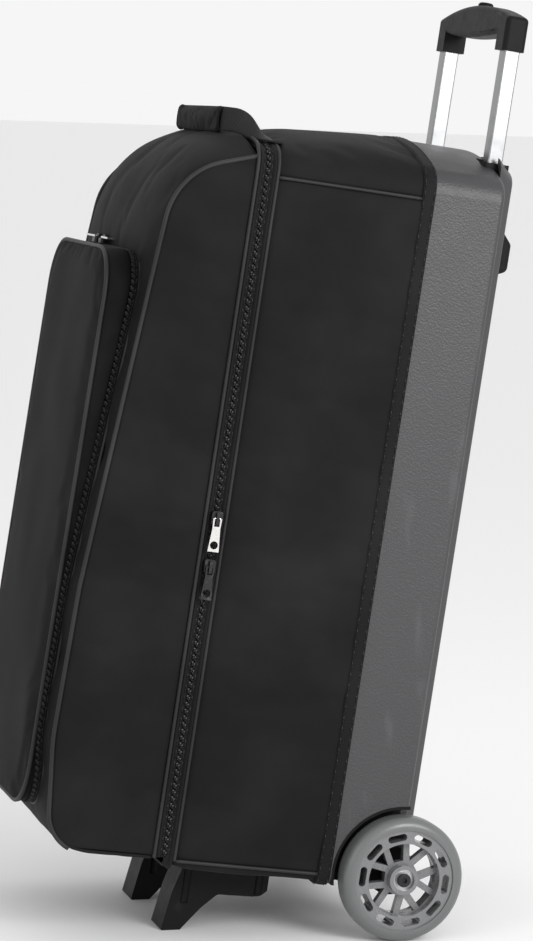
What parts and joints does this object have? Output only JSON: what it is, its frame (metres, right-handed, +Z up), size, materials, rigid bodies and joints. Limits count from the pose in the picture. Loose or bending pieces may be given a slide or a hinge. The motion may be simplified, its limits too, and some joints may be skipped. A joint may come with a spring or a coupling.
{
  "type": "rolling bowling bag",
  "caption": "Upright rolling bag that holds three balls in a column and shoes in front, with a rigid back, two wheels, kick feet and a telescoping handle.",
  "frame": {"origin": "centre of the bag's bounding box at floor level, standing on its wheels and kick feet", "axes": "+X to the bag's right seen from the front, +Y to its back, +Z up"},
  "size_m": [0.337, 0.5064, 0.9473],
  "materials": {
    "shell": "fine leathery grain",
    "binding": "woven binding",
    "nylon": "fine woven nylon",
    "zip_tape": "zip tape with coil",
    "foam": "covered foam",
    "board": "stiff board",
    "tube_inner": "bright anodised",
    "tube_outer": "plain",
    "black_plastic": "satin moulded",
    "tyre": "smoky clear urethane",
    "hub": "silver grey moulded",
    "steel": "zinc plated",
    "black_steel": "black oxide",
    "bright_pull": "nickel plated",
    "webbing": "mesh webbing and padded sleeve"
  },
  "bodies": {
    "case": {"back_shell": "shell", "shell_binding": "binding", "side_panel_left": "nylon", "side_panel_right": "nylon", "top_panel": "nylon", "bottom_panel": "nylon", "zip_tape_case": "zip_tape", "base_board": "board", "back_board": "board", "ball_tray_lower": "foam", "ball_tray_middle": "foam", "ball_tray_upper": "foam", "outer_tube_left": "tube_outer", "handle_collar_left": "black_plastic", "outer_tube_right": "tube_outer", "handle_collar_right": "black_plastic", "tube_bracket": "black_plastic", "axle_bolt_left": "black_steel", "wheel_carrier_left": "black_plastic", "axle_bolt_right": "black_steel", "wheel_carrier_right": "black_plastic", "axle_washers": "steel", "axle_nuts": "steel", "kick_foot_left": "black_plastic", "kick_foot_right": "black_plastic", "foot_screws": "steel", "back_skid_left": "black_plastic", "back_skid_right": "black_plastic"},
    "handle": {"inner_tube_left": "tube_inner", "inner_tube_right": "tube_inner", "tube_plugs": "black_plastic", "grip": "black_plastic"},
    "button": {"release_button": "black_plastic", "release_link": "black_plastic"},
    "wheel_left": {"wheel_tyre_left": "tyre", "wheel_hub_left": "hub", "wheel_bearings_left": "steel"},
    "wheel_right": {"wheel_tyre_right": "tyre", "wheel_hub_right": "hub", "wheel_bearings_right": "steel"},
    "lid": {"zip_tape_lid": "zip_tape", "lid_side_left": "nylon", "lid_side_right": "nylon", "lid_front": "nylon", "lid_top": "nylon", "lid_bottom": "nylon", "partition_board": "board", "pocket_zip_ring": "zip_tape"},
    "pocket_flap": {"pocket_cover": "nylon"},
    "main_slider_upper": {"main_slider_upper": "black_steel"},
    "main_slider_lower": {"main_slider_lower": "black_steel"},
    "main_pull_upper": {"main_pull_upper": "bright_pull"},
    "main_pull_lower": {"main_pull_lower": "black_steel"},
    "pocket_slider_right": {"pocket_slider_right": "black_steel"},
    "pocket_slider_left": {"pocket_slider_left": "black_steel"},
    "pocket_pull_right": {"pocket_pull_right": "bright_pull"},
    "pocket_pull_left": {"pocket_pull_left": "bright_pull"},
    "strap": {"carry_strap": "webbing", "strap_sleeve": "webbing"}
  },
  "joints": [
    {"name": "handle_slide", "type": "slide", "parent": "case", "child": "handle", "axis": [0, 0.1219, 0.9925], "range_m": [-0.112, 0]},
    {"name": "button_press", "type": "slide", "parent": "handle", "child": "button", "axis": [0, -0.1219, -0.9925], "range_m": [0, 0.005], "stiffness_N_per_m": 800, "springref_m": -0.006},
    {"name": "wheel_left_spin", "type": "hinge", "parent": "case", "child": "wheel_left", "pos_m": [-0.1525, 0.13286, 0.0635], "axis": [1, 0, 0], "continuous": true},
    {"name": "wheel_right_spin", "type": "hinge", "parent": "case", "child": "wheel_right", "pos_m": [0.1525, 0.13286, 0.0635], "axis": [1, 0, 0], "continuous": true},
    {"name": "lid_open", "type": "hinge", "parent": "case", "child": "lid", "pos_m": [0, -0.12295, 0.08886], "axis": [1, 0, 0], "range_deg": [0, 55]},
    {"name": "pocket_open", "type": "hinge", "parent": "lid", "child": "pocket_flap", "pos_m": [0, -0.24598, 0.13722], "axis": [1, 0, 0], "range_deg": [0, 35]},
    {"name": "main_slider_upper_slide", "type": "slide", "parent": "case", "child": "main_slider_upper", "axis": [0, 0.1219, 0.9925], "range_m": [0, 0.32]},
    {"name": "main_slider_lower_slide", "type": "slide", "parent": "case", "child": "main_slider_lower", "axis": [0, -0.1219, -0.9925], "range_m": [0, 0.26]},
    {"name": "pocket_slider_right_slide", "type": "slide", "parent": "lid", "child": "pocket_slider_right", "axis": [1, 0, 0], "range_m": [0, 0.1]},
    {"name": "pocket_slider_left_slide", "type": "slide", "parent": "lid", "child": "pocket_slider_left", "axis": [-1, 0, 0], "range_m": [0, 0.011]},
    {"name": "strap_lift", "type": "hinge", "parent": "case", "child": "strap", "pos_m": [0, -0.01548, 0.80007], "axis": [-1, 0, 0], "range_deg": [0, 75]},
    {"name": "main_pull_upper_swing", "type": "hinge", "parent": "main_slider_upper", "child": "main_pull_upper", "pos_m": [0.1565, -0.07098, 0.43007], "axis": [0, -0.9925, 0.1219], "range_deg": [0, 160]},
    {"name": "main_pull_lower_swing", "type": "hinge", "parent": "main_slider_lower", "child": "main_pull_lower", "pos_m": [0.1565, -0.07683, 0.38243], "axis": [0, -0.9925, 0.1219], "range_deg": [0, 160]},
    {"name": "pocket_pull_right_swing", "type": "hinge", "parent": "pocket_slider_right", "child": "pocket_pull_right", "pos_m": [-0.03, -0.14804, 0.69484], "axis": [0, -0.9925, 0.1219], "range_deg": [0, 160]},
    {"name": "pocket_pull_left_swing", "type": "hinge", "parent": "pocket_slider_left", "child": "pocket_pull_left", "pos_m": [-0.058, -0.14804, 0.69484], "axis": [0, 0.9925, -0.1219], "range_deg": [0, 160]}
  ]
}
